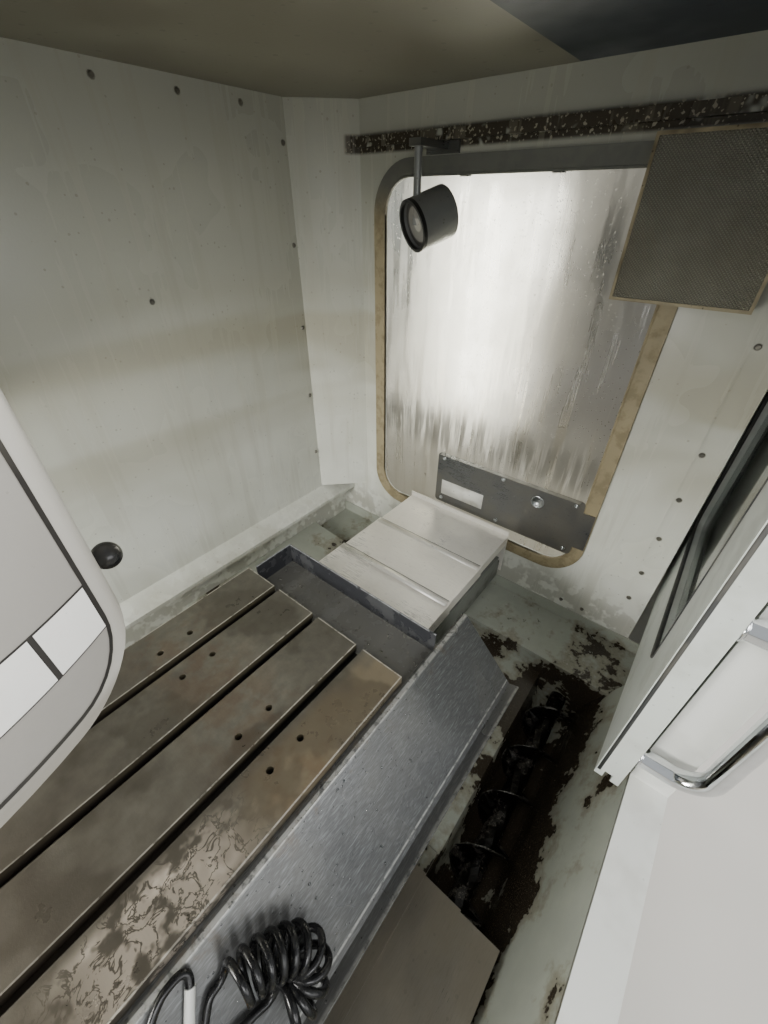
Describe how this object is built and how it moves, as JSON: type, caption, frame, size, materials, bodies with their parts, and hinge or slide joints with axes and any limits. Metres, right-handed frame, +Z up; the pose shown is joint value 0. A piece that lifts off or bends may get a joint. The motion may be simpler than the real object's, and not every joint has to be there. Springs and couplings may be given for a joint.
{
  "type": "cnc machining center",
  "caption": "CNC vertical machining center with a three-slot table, folded sheet enclosure, sliding front doors, telescopic way covers and a chip auger",
  "frame": {"origin": "centre of the bounding box on the floor", "axes": "X runs to the operator's right along the table, Y to the rear, Z up"},
  "size_m": [2.7, 2.28, 2.6],
  "materials": {
    "cast_grey": "satin paint",
    "machined_steel": "ground",
    "pan_grey": "dull paint, wet",
    "wall_grey": "satin paint",
    "window_glass": "clear",
    "gasket_tan": "aged",
    "guard_metal": "scuffed",
    "roof_dark": "matt",
    "front_white": "satin paint",
    "light_rim": "stained",
    "lens": "prismatic",
    "pendant_dark": "textured",
    "screw_black": "blackened",
    "motor_black": "semi-gloss",
    "auger_dark": "oily",
    "lamp_grey": "spotted",
    "stop_red": "gloss",
    "start_green": "gloss",
    "knob_black": "smooth",
    "saddle_grey": "painted",
    "cover_steel": "brushed along the plates",
    "table_iron": "stained",
    "tray_blue": "dark blue-black",
    "apron_steel": "wet",
    "hose_black": "polyurethane",
    "fitting_pale": "worn",
    "spindle_steel": "polished",
    "cover_warm": "satin paint",
    "handle_chrome": "polished",
    "port_brass": "worn"
  },
  "bodies": {
    "frame": {"base_casting": "cast_grey", "levelling_feet": "machined_steel", "column_casting": "cast_grey", "guide_rails": "machined_steel", "chip_pan": "pan_grey", "back_wall": "wall_grey", "corner_panels": "wall_grey", "side_walls": "wall_grey", "side_windows": "window_glass", "window_gaskets": "gasket_tan", "window_guards": "guard_metal", "roof_panels": "roof_dark", "roof_front": "roof_dark", "front_panels": "front_white", "front_header": "front_white", "sill_panel": "front_white", "work_light_housing": "light_rim", "work_light_lens": "lens", "lamp_bracket": "guard_metal", "control_cabinet": "front_white", "pendant_case": "pendant_dark", "panel_screws": "screw_black", "drive_motors": "motor_black", "y_cover_fixed": "cover_steel"},
    "saddle_body": {"saddle": "saddle_grey", "x_motor": "motor_black", "x_cover_outer": "cover_steel", "y_cover_saddle": "cover_steel"},
    "table_body": {"table": "table_iron", "end_trays": "tray_blue", "front_apron": "apron_steel", "x_cover_inner": "cover_steel", "hose_curl": "hose_black", "hose_tail": "hose_black", "hose_fitting": "fitting_pale", "hose_port": "port_brass"},
    "x_cover_middle_body": {"x_cover_middle": "cover_steel"},
    "y_cover_rear_body": {"y_cover_rear_stage": "cover_steel"},
    "y_cover_front_body": {"y_cover_front_stage": "cover_steel"},
    "head_body": {"head_casting": "cast_grey", "spindle_motor": "motor_black", "head_cover": "cover_warm", "coolant_ring": "lamp_grey"},
    "spindle_body": {"spindle": "spindle_steel"},
    "release_button_body": {"tool_release_button": "knob_black"},
    "x_screw_body": {"x_ball_screw": "machined_steel"},
    "y_screw_body": {"y_ball_screw": "machined_steel"},
    "z_screw_body": {"z_ball_screw": "machined_steel"},
    "auger_body": {"auger": "auger_dark"},
    "spot_lamp_body": {"spot_lamp": "lamp_grey"},
    "emergency_stop_body": {"emergency_stop": "stop_red"},
    "cycle_start_body": {"cycle_start": "start_green"},
    "jog_wheel_body": {"jog_wheel": "knob_black"},
    "door_right_body": {"door_right": "wall_grey", "door_panes_right": "window_glass", "handle_right": "handle_chrome"},
    "door_left_body": {"door_left": "wall_grey", "door_panes_left": "window_glass", "handle_left": "handle_chrome"},
    "cabinet_door_body": {"cabinet_door": "front_white"}
  },
  "joints": [
    {"name": "y_axis", "type": "slide", "parent": "frame", "child": "saddle_body", "axis": [0, 1, 0], "range_m": [-0.172, 0.234]},
    {"name": "x_axis", "type": "slide", "parent": "saddle_body", "child": "table_body", "axis": [1, 0, 0], "range_m": [-0.439, 0.323]},
    {"name": "x_cover_slide", "type": "slide", "parent": "saddle_body", "child": "x_cover_middle_body", "axis": [1, 0, 0], "range_m": [-0.2195, 0.1615]},
    {"name": "y_cover_rear_slide", "type": "slide", "parent": "frame", "child": "y_cover_rear_body", "axis": [0, 1, 0], "range_m": [-0.1147, 0.1561]},
    {"name": "y_cover_front_slide", "type": "slide", "parent": "frame", "child": "y_cover_front_body", "axis": [0, 1, 0], "range_m": [-0.0574, 0.0781]},
    {"name": "z_axis", "type": "slide", "parent": "frame", "child": "head_body", "axis": [0, 0, 1], "range_m": [-0.172, 0.336]},
    {"name": "spindle_turn", "type": "hinge", "parent": "head_body", "child": "spindle_body", "pos_m": [0, -0.28, 1.1], "axis": [0, 0, 1], "continuous": true},
    {"name": "tool_release", "type": "slide", "parent": "head_body", "child": "release_button_body", "axis": [-1, 0, 0], "range_m": [0, 0.003], "stiffness_N_per_m": 1500},
    {"name": "x_screw_turn", "type": "hinge", "parent": "saddle_body", "child": "x_screw_body", "pos_m": [0, -0.28, 0.69], "axis": [1, 0, 0], "range_deg": [-15810, 11630]},
    {"name": "y_screw_turn", "type": "hinge", "parent": "frame", "child": "y_screw_body", "pos_m": [0, -0.28, 0.41], "axis": [0, 1, 0], "range_deg": [-6195, 8427]},
    {"name": "z_screw_turn", "type": "hinge", "parent": "frame", "child": "z_screw_body", "pos_m": [0, 0.37, 1.6], "axis": [0, 0, 1], "range_deg": [-6195, 12100]},
    {"name": "auger_turn", "type": "hinge", "parent": "frame", "child": "auger_body", "pos_m": [0, -0.742, 0.405], "axis": [1, 0, 0], "continuous": true},
    {"name": "lamp_swivel", "type": "hinge", "parent": "frame", "child": "spot_lamp_body", "pos_m": [1.043, -0.127, 1.56], "axis": [0, 0, 1], "range_deg": [-30, 30]},
    {"name": "emergency_press", "type": "slide", "parent": "frame", "child": "emergency_stop_body", "axis": [0, 1, 0], "range_m": [0, 0.005], "stiffness_N_per_m": 2000},
    {"name": "cycle_start_press", "type": "slide", "parent": "frame", "child": "cycle_start_body", "axis": [0, 1, 0], "range_m": [0, 0.003], "stiffness_N_per_m": 1500},
    {"name": "jog_turn", "type": "hinge", "parent": "frame", "child": "jog_wheel_body", "pos_m": [1.11, -1.11, 1.25], "axis": [0, -1, 0], "continuous": true},
    {"name": "door_right_slide", "type": "slide", "parent": "frame", "child": "door_right_body", "axis": [-1, 0, 0], "range_m": [0, 0.639]},
    {"name": "door_left_slide", "type": "slide", "parent": "frame", "child": "door_left_body", "axis": [1, 0, 0], "range_m": [0, 0.639]},
    {"name": "cabinet_door_hinge", "type": "hinge", "parent": "frame", "child": "cabinet_door_body", "pos_m": [0.566, 1.132, 1.35], "axis": [0, 0, -1], "range_deg": [0, 110]}
  ],
  "couplings": [
    {"joint": "x_cover_slide", "follows": "x_axis", "ratio": 0.5},
    {"joint": "y_cover_rear_slide", "follows": "y_axis", "ratio": 0.6667},
    {"joint": "y_cover_front_slide", "follows": "y_axis", "ratio": 0.3333},
    {"joint": "x_screw_turn", "follows": "x_axis", "rad_per_m": 628.32},
    {"joint": "y_screw_turn", "follows": "y_axis", "rad_per_m": 628.32},
    {"joint": "z_screw_turn", "follows": "z_axis", "rad_per_m": 628.32}
  ]
}
